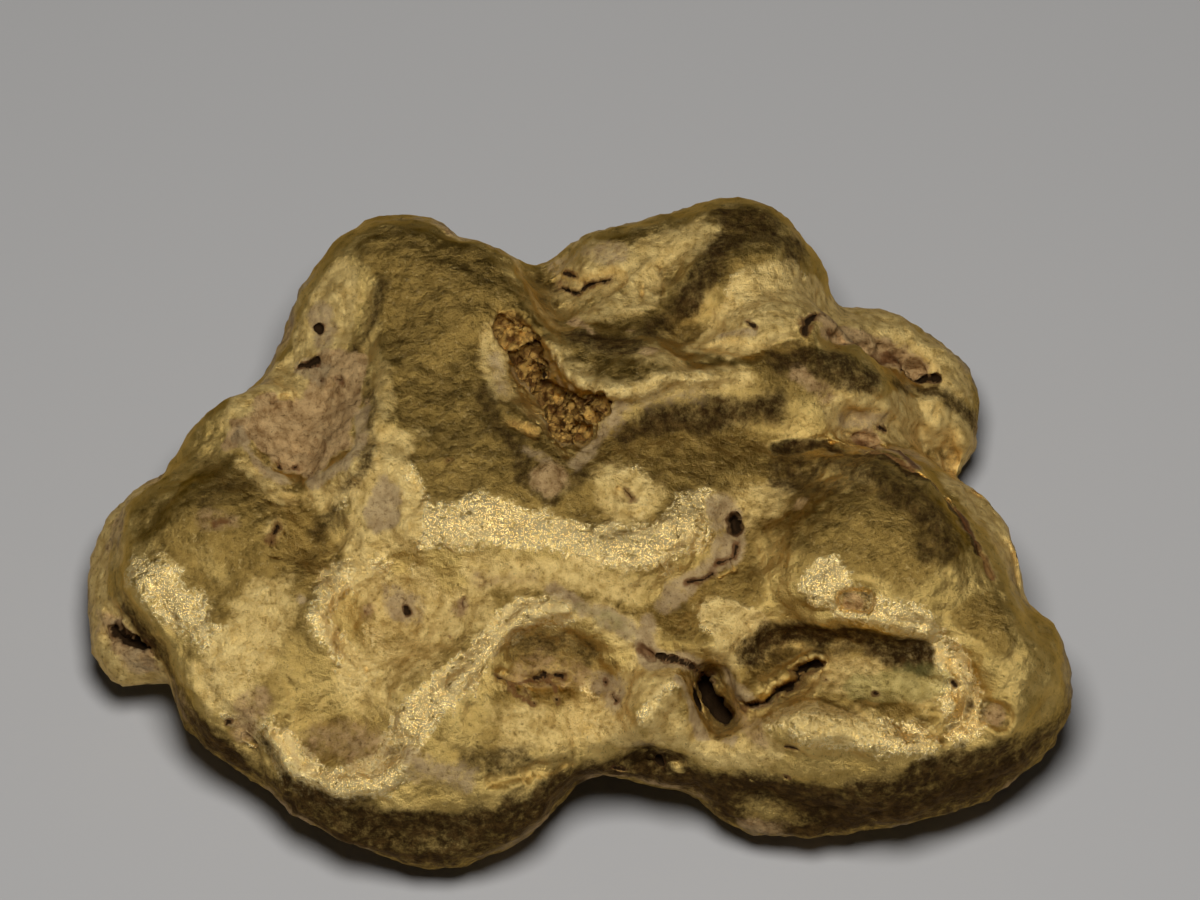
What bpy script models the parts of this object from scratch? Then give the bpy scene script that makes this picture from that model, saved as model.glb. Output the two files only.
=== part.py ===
"""A water-worn gold nugget, lying on a flat surface as one solid.

Overlapping lumps are blended into one skin, and its top, front and underside are worn flatter. Hollows, ridges,
cracks and feet are strokes of relief, each placed as it shows from one side. Lengths are in millimetres until
the finished solid is scaled to metres.
"""

import math
from collections import namedtuple

import bmesh
import bpy
import numpy as np
from mathutils import Matrix, Vector, noise
from mathutils.bvhtree import BVHTree

MM = 0.001

# One side that relief is placed from: the azimuth it is seen from, from -Y towards +X, its elevation over the
# horizon, both in degrees, and the point that shows at its middle.
Side = namedtuple("Side", "azimuth elevation middle")
FACE = Side(0, 60, Vector((0.75, 2.8, 5.0)))
BACK = Side(180, 25, Vector((0, 0, 4.5)))
LEFT = Side(-90, 15, Vector((0, 0, 4.0)))
RIGHT = Side(90, 15, Vector((0, 0, 4.0)))
FRONT = Side(0, 5, Vector((0, 0, 4.0)))
UNDER = Side(0, -90, Vector((0, 0, 0)))

VOXEL = 0.22
BLEND_PASSES = 40
EASE_PASSES = 8
TRIANGLES = 9400
LUMP_SUBDIVISIONS = 4
FOOT_CLEARANCE = 0.02

# One lump: its centre across and up the face and over the surface, its half sizes along X, Y and Z, and its
# turn about Z in degrees.
Lump = namedtuple("Lump", "name across up height half_x half_y half_z turn")
LUMPS = (
    Lump("core", 0.0, -3.6, 4.4, 12.0, 8.2, 4.3, 0),
    Lump("middle", -1.2, -0.4, 4.8, 7.2, 5.6, 5.4, 0),
    Lump("back_left", -5.8, 2.8, 4.8, 5.0, 4.7, 5.4, 0),
    Lump("middle_left", -5.4, -1.6, 5.0, 4.6, 4.8, 5.4, 0),
    Lump("left_flank", -8.9, 1.2, 3.7, 2.9, 5.2, 3.4, -32),
    Lump("left_shoulder", -11.2, -1.0, 4.0, 2.9, 3.4, 3.9, -35),
    Lump("left", -12.4, -4.3, 4.1, 4.0, 3.9, 4.4, 0),
    Lump("left_front", -10.6, -7.4, 4.2, 3.7, 3.7, 4.4, 0),
    Lump("front_left", -5.7, -9.5, 3.9, 5.7, 4.0, 4.4, 0),
    Lump("front_right", 8.6, -8.9, 3.8, 6.7, 3.8, 4.2, 4),
    Lump("right", 9.3, -4.6, 5.0, 4.7, 4.6, 5.4, 0),
    Lump("right_tip", 12.5, -7.8, 4.2, 3.1, 3.3, 4.2, 0),
    Lump("notch", 2.2, -8.2, 4.4, 3.0, 3.0, 3.8, 0),
    Lump("back_right", 4.3, 4.7, 4.9, 3.2, 3.6, 4.4, 0),
    Lump("back_middle", 1.2, 4.0, 4.6, 3.8, 3.6, 4.2, 0),
    Lump("middle_right", 5.6, 1.0, 4.8, 4.8, 3.8, 4.5, 0),
    Lump("arm_root", 9.0, 2.8, 3.2, 2.6, 1.8, 1.8, 0),
    Lump("arm_tip", 11.1, 1.8, 3.0, 1.8, 1.8, 1.7, 0),
    Lump("arm_end", 10.9, 0.8, 2.9, 1.8, 1.8, 1.7, 0),
    Lump("back_knob", 11.2, -3.0, 2.6, 1.9, 2.2, 1.9, 0),
    Lump("left_curl", -15.0, -4.7, 2.6, 2.2, 4.1, 2.2, -12),
)

# One worn face, where rolling in a stream has flattened the nugget: a place on it across and up the face and
# over the surface, its normal's azimuth and elevation, how round its border is, and the share of what stands
# proud of it that is worn away.
Worn = namedtuple("Worn", "name across up height azimuth elevation border share")
WORN_FACES = (
    Worn("top", 0.0, 0.0, 9.1, -90, 86, 0.5, 0.85),
    Worn("front", 0.0, -6.0, 7.9, -16, 62, 0.6, 0.85),
    Worn("under", 0.0, 0.0, 0.4, 0, -90, 0.4, 0.6),
)

# Soft uneven swells over the whole skin: how high they stand and how far apart they are.
Swell = namedtuple("Swell", "rise spacing")
SWELLS = (Swell(0.45, 5.5), Swell(0.28, 2.6))
# The share of the swells that the face keeps, because strokes give it its own relief.
FACE_SWELL_SHARE = 0.25

# One stroke of relief on a side: a path of points across and up it, the stroke's reach either side, how far
# its middle rises (or sinks, when negative) towards the viewer, and how flat it is across: 0 is a bell, and
# near 1 a level floor with steep sides.
Stroke = namedtuple("Stroke", "name path reach rise flat")
FACE_HOLLOWS = (
    Stroke("left_basin", ((-7.2, -5.0), (-5.2, -5.6)), 2.6, -0.55, 0.1),
    Stroke("left_basin_middle", ((-6.4, -7.2),), 2.0, -0.2, 0.0),
    Stroke("left_basin_low", ((-8.7, -9.4), (-7.4, -9.4)), 2.2, -0.5, 0.1),
    Stroke("middle_basin", ((-2.2, -6.9), (-0.4, -7.5)), 2.4, -1.0, 0.0),
    Stroke("right_basin", ((6.2, -7.0), (8.5, -7.1), (11.2, -8.0)), 2.4, -1.4, 0.1),
    Stroke("flank_basin", ((-9.6, 3.0), (-9.8, 0.4)), 2.6, -0.6, 0.2),
    Stroke("flank_crease", ((-7.8, 5.3), (-7.6, 3.6), (-7.8, 2.3)), 0.9, -0.3, 0.0),
    Stroke("cavity_head", ((-3.1, 3.9), (-2.3, 2.6)), 1.0, -0.6, 0.0),
    Stroke("cavity_middle", ((-2.1, 2.3), (-1.5, 1.3)), 1.3, -1.0, 0.1),
    Stroke("cavity_foot", ((-1.0, 1.1), (-0.5, 0.5)), 1.4, -1.0, 0.1),
    Stroke("back_slit_valley", ((-0.9, 5.4), (1.4, 6.0)), 2.2, -0.6, 0.1),
    Stroke("dimple", ((0.9, -1.5),), 1.5, -0.2, 0.2),
    Stroke("pad", ((-7.2, -1.4), (-7.2, -2.0)), 1.6, -0.3, 0.2),
    Stroke("back_valley", ((3.3, 3.5), (6.3, 2.7), (8.4, 2.0)), 2.0, -0.7, 0.0),
    Stroke("middle_valley", ((1.5, 0.8), (4.7, 0.6), (7.5, 0.2)), 2.0, -0.6, 0.0),
    Stroke("lobe_valley", ((7.4, -0.8), (5.2, -1.6), (4.2, -3.4), (2.6, -4.8)), 1.9, -0.7, 0.0),
    Stroke("crevice_slit", ((1.5, -6.7), (2.6, -6.9), (3.4, -7.4)), 0.6, -0.9, 0.1),
    Stroke("crevice", ((3.7, -7.7), (4.0, -8.7)), 1.0, -2.2, 0.3),
    Stroke("under_lip", ((4.5, -8.8), (5.6, -8.4), (6.4, -7.7), (7.2, -7.1)), 0.7, -0.9, 0.1),
    Stroke("bowl", ((7.9, -5.1), (8.7, -4.9)), 0.8, -0.4, 0.3),
    Stroke("tip_pit", ((13.1, -8.7),), 0.8, -0.3, 0.2),
    Stroke("fold_valley", ((-3.3, -4.2), (0.0, -4.6), (2.0, -5.4)), 1.5, -0.35, 0.0),
    Stroke("arm_hollow", ((7.9, 3.7), (9.4, 3.2), (10.6, 2.5)), 0.9, -0.9, 0.2),
    Stroke("curl_slit", ((-16.2, -5.4), (-15.5, -6.2), (-14.8, -6.6)), 0.6, -0.8, 0.1),
)
FACE_RIDGES = (
    Stroke("plateau_edge",
           ((-5.7, -2.8), (-3.7, -2.2), (-1.3, -2.6), (0.7, -3.4), (2.5, -2.9), (3.2, -1.9)), 2.0, 0.25, 0.0),
    Stroke("diagonal",
           ((-0.6, -5.3), (-2.3, -5.5), (-3.6, -6.3), (-4.9, -8.0), (-5.7, -9.6), (-7.0, -11.0),
            (-8.6, -11.2)), 1.7, 0.4, 0.0),
    Stroke("front_left_rim", ((-8.6, -11.2), (-10.1, -10.2), (-10.7, -9.0)), 1.4, 0.25, 0.0),
    Stroke("left_basin_rim", ((-8.0, -4.0), (-9.2, -4.8), (-9.2, -6.3)), 1.4, 0.3, 0.0),
    Stroke("right_basin_rim",
           ((6.7, -5.0), (8.3, -5.5), (10.0, -5.8), (11.7, -6.6), (13.2, -8.0), (13.4, -9.3)),
           1.6, 0.25, 0.0),
    Stroke("left_edge", ((-15.3, -3.9), (-14.0, -5.1), (-13.0, -6.7), (-12.2, -8.3)), 1.8, 0.25, 0.0),
    Stroke("cavity_rim",
           ((-1.8, 3.8), (-1.3, 2.8), (-0.3, 2.0), (1.3, 2.1), (3.3, 2.5), (5.0, 2.8)), 1.4, 0.35, 0.0),
    Stroke("crevice_ridge", ((1.3, -9.2), (2.0, -8.0), (2.5, -7.5)), 1.0, 0.4, 0.0),
    Stroke("lip", ((4.5, -8.0), (5.7, -7.7), (6.7, -7.2), (7.3, -6.7)), 0.8, 0.5, 0.0),
    Stroke("front_bump", ((6.4, -8.7), (7.3, -9.2)), 1.5, 0.5, 0.0),
    Stroke("front_bump_2", ((8.8, -9.5), (10.0, -9.8)), 1.5, 0.4, 0.0),
    Stroke("crevice_pad", ((4.0, -5.6), (4.4, -6.2)), 1.6, 0.25, 0.0),
    Stroke("flank_strip", ((-7.5, 2.2), (-7.2, 0.8)), 0.9, 0.25, 0.0),
    Stroke("cavity_knob", ((-1.7, -0.9),), 1.2, 0.3, 0.0),
    Stroke("back_patch", ((1.7, 3.2),), 1.1, 0.25, 0.0),
    Stroke("arm_rim", ((8.3, 4.6), (10.0, 4.2), (11.4, 3.4), (12.0, 2.2)), 0.9, 0.3, 0.0),
)
BACK_STROKES = (
    Stroke("back_left_scoop", ((8.5, 0.6), (6.2, 1.4)), 2.6, -0.9, 0.1),
    Stroke("back_left_pit", ((3.6, -1.2),), 1.3, -0.8, 0.2),
    Stroke("back_notch_groove", ((1.0, 2.8), (0.4, 0.6), (1.2, -1.6)), 1.5, -0.9, 0.0),
    Stroke("back_fold", ((-1.0, 1.6), (-3.4, 0.2), (-6.0, -0.4)), 1.2, -0.7, 0.0),
    Stroke("back_brow", ((-1.6, 3.0), (-4.6, 2.4), (-6.6, 1.4)), 1.5, 0.4, 0.0),
    Stroke("arm_socket", ((-8.4, -1.0), (-9.6, -0.6)), 1.3, -0.8, 0.1),
    Stroke("back_flank_dent", ((11.6, -0.4), (13.0, -1.4)), 1.8, -0.7, 0.0),
    Stroke("back_ledge", ((7.6, -2.6), (4.8, -3.0)), 1.2, 0.5, 0.0),
)
LEFT_STROKES = (
    Stroke("left_fold", ((3.6, -0.4), (0.8, -1.0), (-2.0, -0.2)), 1.1, -0.6, 0.0),
    Stroke("left_dent", ((5.4, 1.0),), 1.9, -0.7, 0.1),
)
RIGHT_STROKES = (
    Stroke("right_dent", ((-1.6, 0.8), (0.6, 0.2)), 1.8, -0.7, 0.1),
    Stroke("right_gully", ((-5.2, -0.6), (-3.4, -1.8)), 1.2, -0.6, 0.0),
    Stroke("right_brow", ((-6.6, 1.6), (-3.8, 2.0)), 1.3, 0.3, 0.0),
)
FRONT_STROKES = (
    Stroke("left_wall_crack", ((-8.6, -0.6), (-6.0, -1.4), (-3.2, -0.8)), 0.9, -0.5, 0.0),
    Stroke("left_wall_swell", ((-4.4, 0.8), (-2.6, 0.6)), 1.5, 0.3, 0.0),
    Stroke("left_wall_dent", ((-11.2, -0.2),), 1.6, -0.5, 0.0),
    Stroke("right_wall_dent", ((6.0, -0.8), (8.0, -1.2)), 1.8, -0.6, 0.0),
    Stroke("right_wall_ledge", ((9.2, 0.6), (12.0, 1.4), (14.2, 1.8)), 1.1, 0.35, 0.0),
    Stroke("notch_pit", ((2.3, 0.2),), 1.1, -0.8, 0.1),
)
UNDER_STROKES = (
    Stroke("under_valley", ((-9.0, 1.0), (-3.0, -1.2), (2.0, 0.6), (6.4, -0.6)), 2.6, -1.1, 0.1),
    Stroke("under_pit", ((4.6, -4.4),), 1.7, -0.9, 0.2),
    Stroke("under_cleft", ((-1.6, 7.6), (-1.0, 4.0), (-2.6, 1.6)), 1.3, -0.9, 0.0),
    Stroke("under_dish", ((-11.8, 3.0), (-12.6, 0.4)), 1.8, -0.6, 0.1),
    Stroke("under_side_dent", ((11.0, -0.6),), 1.9, -0.7, 0.1),
    Stroke("foot_front_left", ((-5.8, 7.2), (-4.2, 6.8)), 2.6, 0.6, 0.2),
    Stroke("foot_front_right", ((8.0, 6.8), (10.4, 6.4)), 2.4, 0.6, 0.2),
    Stroke("foot_back_left", ((-5.4, -6.2), (-4.0, -6.6)), 2.6, 0.7, 0.2),
    Stroke("foot_back_right", ((4.4, -7.2), (5.4, -6.8)), 2.4, 1.1, 0.2),
)


def clear_scene():
    for thing in list(bpy.data.objects):
        bpy.data.objects.remove(thing)


def direction(azimuth, elevation):
    """The unit vector that points to this azimuth and elevation, both in degrees."""
    azimuth = math.radians(azimuth)
    elevation = math.radians(elevation)
    level = math.cos(elevation)
    return Vector((math.sin(azimuth) * level, -math.cos(azimuth) * level, math.sin(elevation)))


def side_axes(side):
    """A side's directions to the right, up and towards the viewer."""
    towards = direction(side.azimuth, side.elevation)
    azimuth = math.radians(side.azimuth)
    right = Vector((math.cos(azimuth), math.sin(azimuth), 0))
    return right, towards.cross(right), towards


def on_face(across, up, height):
    """The point at this height over the surface that shows at (across, up) on the face."""
    right, face_up, towards = side_axes(FACE)
    shown = FACE.middle + right * across + face_up * up
    return shown + towards * ((height - shown.z) / towards.z)


def new_object(name, mesh):
    made = bpy.data.objects.new(name, mesh)
    bpy.context.scene.collection.objects.link(made)
    return made


def lump_mesh():
    """Every lump as an overlapping ellipsoid, in one mesh."""
    form = bmesh.new()
    for lump in LUMPS:
        place = Matrix.Translation(on_face(lump.across, lump.up, lump.height))
        turn = Matrix.Rotation(math.radians(lump.turn), 4, "Z")
        size = Matrix.Diagonal((lump.half_x, lump.half_y, lump.half_z, 1))
        bmesh.ops.create_icosphere(form, subdivisions=LUMP_SUBDIVISIONS, radius=1, matrix=place @ turn @ size)
    mesh = bpy.data.meshes.new("lumps")
    form.to_mesh(mesh)
    form.free()
    return mesh


def evaluated_mesh(thing):
    """The object's mesh with its modifiers applied; the object goes."""
    graph = bpy.context.evaluated_depsgraph_get()
    mesh = bpy.data.meshes.new_from_object(thing.evaluated_get(graph))
    bpy.data.objects.remove(thing)
    return mesh


def one_skin(mesh, passes):
    """The mesh as one even skin, with its creases eased by this many smoothing passes."""
    thing = new_object("skin", mesh)
    remesh = thing.modifiers.new("one_skin", "REMESH")
    remesh.mode = "VOXEL"
    remesh.voxel_size = VOXEL
    smooth = thing.modifiers.new("ease", "SMOOTH")
    smooth.iterations = passes
    return evaluated_mesh(thing)


def fewer_triangles(mesh):
    """The mesh collapsed to about TRIANGLES triangles."""
    thing = new_object("skin", mesh)
    mesh.calc_loop_triangles()
    collapse = thing.modifiers.new("collapse", "DECIMATE")
    collapse.ratio = TRIANGLES / len(mesh.loop_triangles)
    return evaluated_mesh(thing)


def mesh_vectors(mesh, attribute):
    """One vector of every vertex, such as its co or its normal, as rows of an array."""
    rows = np.empty(len(mesh.vertices) * 3, np.float32)
    mesh.vertices.foreach_get(attribute, rows)
    return rows.reshape(-1, 3).astype(float)


def move_vertices(mesh, points):
    mesh.vertices.foreach_set("co", points.astype(np.float32).ravel())
    mesh.update()


def wear(mesh):
    """Presses what stands proud of each worn face back towards it, with a rounded border."""
    points = mesh_vectors(mesh, "co")
    for worn in WORN_FACES:
        normal = np.array(direction(worn.azimuth, worn.elevation))
        proud = (points - np.array(on_face(worn.across, worn.up, worn.height))) @ normal
        press = worn.border * np.logaddexp(0, proud / worn.border)
        points -= worn.share * press[:, None] * normal
    move_vertices(mesh, points)


def swell(mesh):
    """Adds soft uneven swells, fewer where the skin looks the face's way."""
    points = mesh_vectors(mesh, "co")
    normals = mesh_vectors(mesh, "normal")
    rise = np.zeros(len(points))
    for swells in SWELLS:
        rise += swells.rise * np.array([noise.noise(Vector(point) / swells.spacing) for point in points])
    facing = np.clip(normals @ np.array(side_axes(FACE)[2]), 0, 1)
    rise *= 1 - (1 - FACE_SWELL_SHARE) * facing
    move_vertices(mesh, points + rise[:, None] * normals)


def distance_to_path(points, path):
    """Each point's distance to the nearest place on a path of straight runs."""
    nearest = np.linalg.norm(points - path[0], axis=1)
    for start, end in zip(path, path[1:]):
        run = end - start
        share = np.clip((points - start) @ run / (run @ run), 0, 1)
        nearest = np.minimum(nearest, np.linalg.norm(points - start - share[:, None] * run, axis=1))
    return nearest


def stroke_weight(distance, reach, flat):
    """1 in the middle of a stroke and 0 at its reach, with a level middle of the share flat."""
    edge = np.clip((reach - distance) / (reach * (1 - flat)), 0, 1)
    return edge * edge * (3 - 2 * edge)


def relieve(mesh, side, strokes):
    """Adds the strokes' relief to the mesh, each laid on the skin as it shows from the side."""
    right, up, towards = side_axes(side)
    points = mesh_vectors(mesh, "co")
    tree = BVHTree.FromPolygons([v.co for v in mesh.vertices], [p.vertices for p in mesh.polygons])
    lift = np.zeros(len(points))
    for stroke in strokes:
        starts = [side.middle + right * x + up * y + towards * 50 for x, y in stroke.path]
        path = [np.array(tree.ray_cast(start, -towards)[0]) for start in starts]
        distance = distance_to_path(points, path)
        lift += stroke.rise * stroke_weight(distance, stroke.reach, stroke.flat)
    move_vertices(mesh, points + lift[:, None] * np.array(towards))


def rest(mesh, clearance):
    """Presses level whatever lies under the surface, or this little over it, so that the feet are flat."""
    points = mesh_vectors(mesh, "co")
    points[points[:, 2] < clearance, 2] = 0
    move_vertices(mesh, points)


def native_gold():
    material = bpy.data.materials.new("native_gold")
    material.use_nodes = True
    shader = material.node_tree.nodes["Principled BSDF"]
    shader.inputs["Base Color"].default_value = (0.74, 0.52, 0.2, 1)
    shader.inputs["Metallic"].default_value = 1
    shader.inputs["Roughness"].default_value = 0.42
    return material


def main():
    clear_scene()
    mesh = one_skin(lump_mesh(), BLEND_PASSES)
    wear(mesh)
    swell(mesh)
    relieve(mesh, BACK, BACK_STROKES)
    relieve(mesh, LEFT, LEFT_STROKES)
    relieve(mesh, RIGHT, RIGHT_STROKES)
    relieve(mesh, FRONT, FRONT_STROKES)
    relieve(mesh, UNDER, UNDER_STROKES)
    relieve(mesh, FACE, FACE_HOLLOWS + FACE_RIDGES)
    mesh = one_skin(mesh, EASE_PASSES)
    rest(mesh, 0)
    mesh = fewer_triangles(mesh)
    rest(mesh, FOOT_CLEARANCE)
    mesh.transform(Matrix.Scale(MM, 4))
    mesh.shade_smooth()
    mesh.materials.append(native_gold())
    new_object("nugget", mesh)


main()
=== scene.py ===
import math
from collections import namedtuple

import bmesh
import bpy
import numpy as np
from mathutils import Matrix, Vector, noise
from mathutils.bvhtree import BVHTree


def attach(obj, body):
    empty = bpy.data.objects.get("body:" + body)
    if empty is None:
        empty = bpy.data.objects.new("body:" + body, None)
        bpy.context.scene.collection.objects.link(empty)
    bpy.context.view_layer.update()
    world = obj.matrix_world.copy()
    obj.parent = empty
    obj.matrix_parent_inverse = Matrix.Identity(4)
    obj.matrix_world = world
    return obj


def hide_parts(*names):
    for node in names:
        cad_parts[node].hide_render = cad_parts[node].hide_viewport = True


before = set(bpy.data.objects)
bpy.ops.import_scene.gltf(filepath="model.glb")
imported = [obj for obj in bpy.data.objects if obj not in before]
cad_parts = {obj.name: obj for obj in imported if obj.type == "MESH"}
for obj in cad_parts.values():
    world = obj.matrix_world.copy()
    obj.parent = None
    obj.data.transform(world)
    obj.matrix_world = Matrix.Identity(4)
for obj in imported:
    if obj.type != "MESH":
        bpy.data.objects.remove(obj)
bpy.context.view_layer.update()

# The nugget's fine skin, its metal and films, and a plain studio. Lengths are in millimetres until the skin is
# scaled to metres. One side that relief is placed from is the azimuth it is seen from, from -Y towards +X, its
# elevation over the horizon, both in degrees, and the point that shows at its middle.
MM = 0.001
Side = namedtuple("Side", "azimuth elevation middle")
FACE = Side(0, 60, Vector((0.75, 2.8, 5.0)))

VOXEL = 0.25
EASE_PASSES = 7
SHOWN_FROM = 0.3
FOOT_CLEARANCE = 0.05
FINE_MARGIN = 0.2
PIT_WANDER = 0.4
PIT_EASE_PASSES = 2
HOLLOW_PASSES = 110
HOLLOW_DEPTH = 0.16

# One stroke of relief on a side: a path of points across and up it, its reach either side, how far its middle
# rises (sinks, when negative), and how flat it is across: 0 is a bell, and near 1 a level floor.
Stroke = namedtuple("Stroke", "path reach rise flat")
FACE_FORMS = (
    # flank window, its crease and its rim
    Stroke(((-8.9, 5.3), (-9.1, 3.9), (-9.9, 2.6)), 1.5, -0.22, 0.3),
    Stroke(((-10.5, 0.9), (-9.5, 0.5), (-8.9, 1.3)), 1.3, -0.25, 0.5),
    Stroke(((-7.3, 5.2), (-7.4, 3.9), (-7.1, 2.6), (-7.2, 1.0)), 0.7, 0.25, 0.1),
    Stroke(((-12.0, 0.6), (-11.4, -0.4), (-10.5, -1.0), (-9.3, -1.05), (-8.3, -0.4), (-7.8, 0.6)), 0.35, 0.14, 0.1),
    Stroke(((-10.6, -1.0), (-9.2, -1.0), (-8.4, -0.5)), 0.9, 0.3, 0.2),
    # oval pad
    Stroke(((-7.2, -0.9), (-7.2, -2.5)), 1.5, 0.3, 0.3),
    Stroke(((-7.1, -1.5), (-7.2, -2.1)), 0.75, -0.1, 0.3),
    # ragged cavity and its rim
    Stroke(((-1.6, 3.5), (-1.35, 2.8), (-0.7, 2.3), (0.2, 1.95), (1.0, 1.95), (2.3, 2.4), (4.2, 2.5)), 0.5, 0.28, 0.1),
    Stroke(((-1.7, -0.9),), 0.8, 0.14, 0.2),
    Stroke(((1.7, 3.2), (2.0, 2.9)), 0.9, 0.2, 0.3),
    # dimple and pinhole pads
    Stroke(((0.97, -1.33),), 1.3, 0.22, 0.4),
    Stroke(((0.95, -1.5),), 0.45, -0.12, 0.1),
    Stroke(((4.4, -2.5),), 0.9, -0.16, 0.4),
    # left rim and its slope
    Stroke(((-15.7, -3.7), (-15.2, -5.0), (-14.1, -6.7), (-13.3, -8.3), (-12.2, -9.8)), 0.9, 0.3, 0.1),
    Stroke(((-5.9, -7.1), (-6.7, -8.7)), 1.3, 0.3, 0.1),
    Stroke(((-8.2, -9.8),), 1.6, 0.25, 0.2),
    Stroke(((-6.5, -5.1),), 1.1, -0.15, 0.2),
    # middle basin
    Stroke(((-2.9, -6.6), (-1.6, -6.4), (-0.5, -6.7)), 0.8, -0.2, 0.2),
    Stroke(((-2.6, -8.3), (-1.2, -8.3)), 0.8, 0.15, 0.1),
    Stroke(((0.2, -7.8),), 0.8, -0.2, 0.2),
    # crevice, its ridge and the lip
    Stroke(((1.4, -8.9), (2.1, -7.9), (2.6, -7.5)), 0.7, 0.25, 0.1),
    Stroke(((1.7, -7.4), (1.2, -8.2), (1.1, -9.3)), 0.95, 0.28, 0.1),
    Stroke(((4.7, -8.1), (5.6, -7.75), (6.4, -7.3), (7.2, -6.85)), 0.5, 0.45, 0.2),
    Stroke(((5.7, -8.9), (7.6, -8.9)), 1.1, 0.4, 0.2),
    Stroke(((8.9, -9.5), (10.3, -9.5), (11.6, -9.2)), 0.9, 0.25, 0.1),
    Stroke(((5.4, -6.4), (7.6, -6.4), (10.3, -6.9)), 0.8, -0.2, 0.2),
    Stroke(((7.8, -7.7), (11.1, -7.7)), 1.6, 0.45, 0.2),
    Stroke(((9.0, -8.6), (10.4, -8.8), (11.2, -8.6)), 0.9, 0.35, 0.2),
    Stroke(((10.9, -6.9), (11.3, -7.6), (11.2, -8.3)), 1.1, 0.28, 0.1),
    Stroke(((8.15, -4.95), (8.65, -5.0)), 0.7, 0.15, 0.5),
    Stroke(((8.15, -4.95), (8.65, -5.0)), 0.5, -0.38, 0.6),
    Stroke(((12.8, -8.6), (13.2, -8.8)), 0.75, 0.12, 0.5),
    Stroke(((12.8, -8.6), (13.2, -8.8)), 0.5, -0.28, 0.6),
    # edge of the right lobe over the arm and the back knob
    Stroke(((8.6, 0.8), (10.2, 0.2), (11.4, -0.3)), 1.15, -0.72, 0.3),
    Stroke(((12.6, -1.7), (13.2, -2.9), (13.7, -4.0)), 1.0, -0.65, 0.3),
    Stroke(((5.8, 0.0), (7.5, 0.28), (8.9, -0.1), (10.2, -0.65)), 0.35, -0.2, 0.1),
    Stroke(((6.2, -0.5), (7.5, -0.25), (8.8, -0.65), (10.0, -1.25), (10.8, -1.9), (11.4, -3.1)), 0.6, 0.3, 0.2),
    # rims of the basins
    Stroke(((-7.2, -3.9), (-8.6, -4.3), (-9.3, -5.4), (-8.9, -6.4)), 0.6, 0.12, 0.1),
    Stroke(((-1.2, -5.2), (-2.4, -5.5), (-3.6, -6.5), (-4.7, -7.6)), 0.55, 0.22, 0.1),
    Stroke(((-6.2, -10.2), (-7.6, -11.1), (-9.1, -11.2), (-10.2, -10.5), (-10.9, -9.5)), 0.6, 0.25, 0.1),
    Stroke(((7.0, -5.6), (9.1, -5.7), (10.7, -6.1)), 0.5, 0.22, 0.1),
    Stroke(((-10.4, -9.0), (-10.9, -10.2)), 0.4, -0.15, 0.1),
    # arm
    Stroke(((7.6, 3.7), (9.0, 3.2), (10.4, 2.6)), 0.6, -0.5, 0.2),
    Stroke(((7.2, 2.9), (9.2, 2.3), (11.2, 1.7)), 0.6, 0.25, 0.1),
    Stroke(((8.6, 0.35), (10.2, -0.2)), 0.5, -0.3, 0.2),
    # back slit and the pad's foot
    Stroke(((-1.4, 5.5), (-0.4, 5.4), (0.5, 5.7)), 0.6, -0.3, 0.2),
    Stroke(((2.0, 6.1), (2.05, 5.0)), 0.25, -0.12, 0.1),
    Stroke(((3.7, 3.4), (5.0, 3.3), (6.6, 3.6)), 0.5, -0.25, 0.1),
)
# Ragged breaks in the skin, with rubble in them, and shallow dishes.
FACE_BREAKS = (
    Stroke(((-3.1, 4.0), (-2.4, 3.6), (-2.0, 3.3)), 0.5, -0.3, 0.3),
    Stroke(((-2.4, 2.8), (-2.0, 2.0), (-1.5, 1.2), (-1.2, 0.5)), 0.7, -0.65, 0.5),
    Stroke(((-1.7, 2.1), (-0.9, 1.6), (0.0, 1.5)), 0.5, -0.6, 0.4),
    Stroke(((-1.1, 1.1), (-0.6, 0.8)), 0.75, -0.3, 0.4),
    Stroke(((-3.4, 2.9), (-3.1, 1.9)), 0.5, -0.1, 0.2),
    Stroke(((-3.1, 0.9), (-2.3, 0.6)), 0.4, -0.1, 0.2),
    Stroke(((-3.2, -7.5), (-2.3, -7.7), (-1.5, -7.5)), 0.5, -0.22, 0.2),
    Stroke(((1.2, -10.4), (2.4, -10.2)), 0.5, -0.35, 0.2),
    Stroke(((-3.4, -10.9), (-1.2, -10.3)), 0.4, -0.2, 0.2),
    Stroke(((8.0, 0.45), (9.0, 0.3), (10.2, -0.3)), 0.4, -0.4, 0.2),
    Stroke(((7.7, 3.7), (8.8, 3.3), (9.8, 3.0)), 0.45, -0.3, 0.2),
)
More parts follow.
